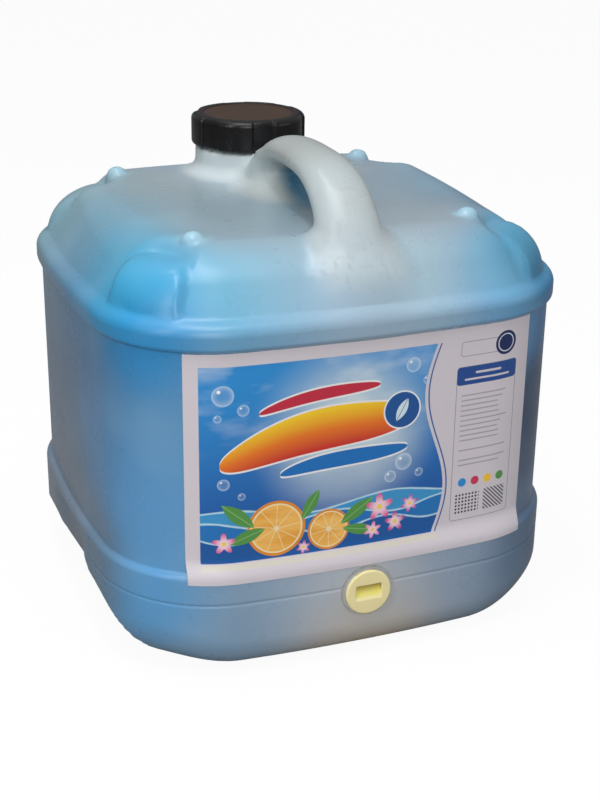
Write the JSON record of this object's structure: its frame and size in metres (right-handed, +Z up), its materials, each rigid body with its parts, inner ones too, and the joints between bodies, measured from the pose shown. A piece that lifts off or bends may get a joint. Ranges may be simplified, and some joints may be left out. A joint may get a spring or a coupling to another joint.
{
  "type": "laundry liquid cube bottle",
  "caption": "Cube-shaped blow-moulded plastic bottle for laundry liquid, with a moulded top grip, a rear neck with screw cap and a tap-hole bung at the front foot.",
  "frame": {"origin": "centre of the base, on the surface it stands on", "axes": "+Z up; -Y towards the front with the label and the tap hole; +Y towards the neck; +X to the right seen from the front"},
  "size_m": [0.2894, 0.2744, 0.2844],
  "materials": {
    "bottle_plastic": "satin translucent blow-moulded skin",
    "liquid": "clear blue liquid",
    "label_film": "printed satin film",
    "cap_plastic": "black moulded, semi-gloss",
    "liner_foam": "foamed wad",
    "bung_plastic": "pale yellow moulded",
    "seal_rubber": "soft white ring"
  },
  "bodies": {
    "bottle": {"bottle": "bottle_plastic", "laundry_liquid": "liquid", "front_label": "label_film"},
    "cap_liner": {"cap_liner": "liner_foam"},
    "screw_cap": {"screw_cap": "cap_plastic"},
    "bung_seal": {"bung_seal": "seal_rubber"},
    "tap_bung": {"tap_bung": "bung_plastic"}
  },
  "joints": [
    {"name": "cap_lift", "type": "slide", "parent": "bottle", "child": "cap_liner", "axis": [0, 0, 1], "range_m": [0, 0.0241]},
    {"name": "cap_turn", "type": "hinge", "parent": "cap_liner", "child": "screw_cap", "pos_m": [0, 0.0727, 0.27], "axis": [0, 0, 1], "range_deg": [0, 1440]},
    {"name": "bung_draw", "type": "slide", "parent": "bottle", "child": "bung_seal", "axis": [0, -1, 0], "range_m": [0, 0.0161]},
    {"name": "bung_turn", "type": "hinge", "parent": "bung_seal", "child": "tap_bung", "pos_m": [0, -0.134, 0.0428], "axis": [0, -1, 0], "range_deg": [0, 1440]}
  ],
  "couplings": [
    {"joint": "cap_lift", "follows": "cap_turn", "m_per_rad": 0.00095493},
    {"joint": "bung_draw", "follows": "bung_turn", "m_per_rad": 0.00063662}
  ]
}
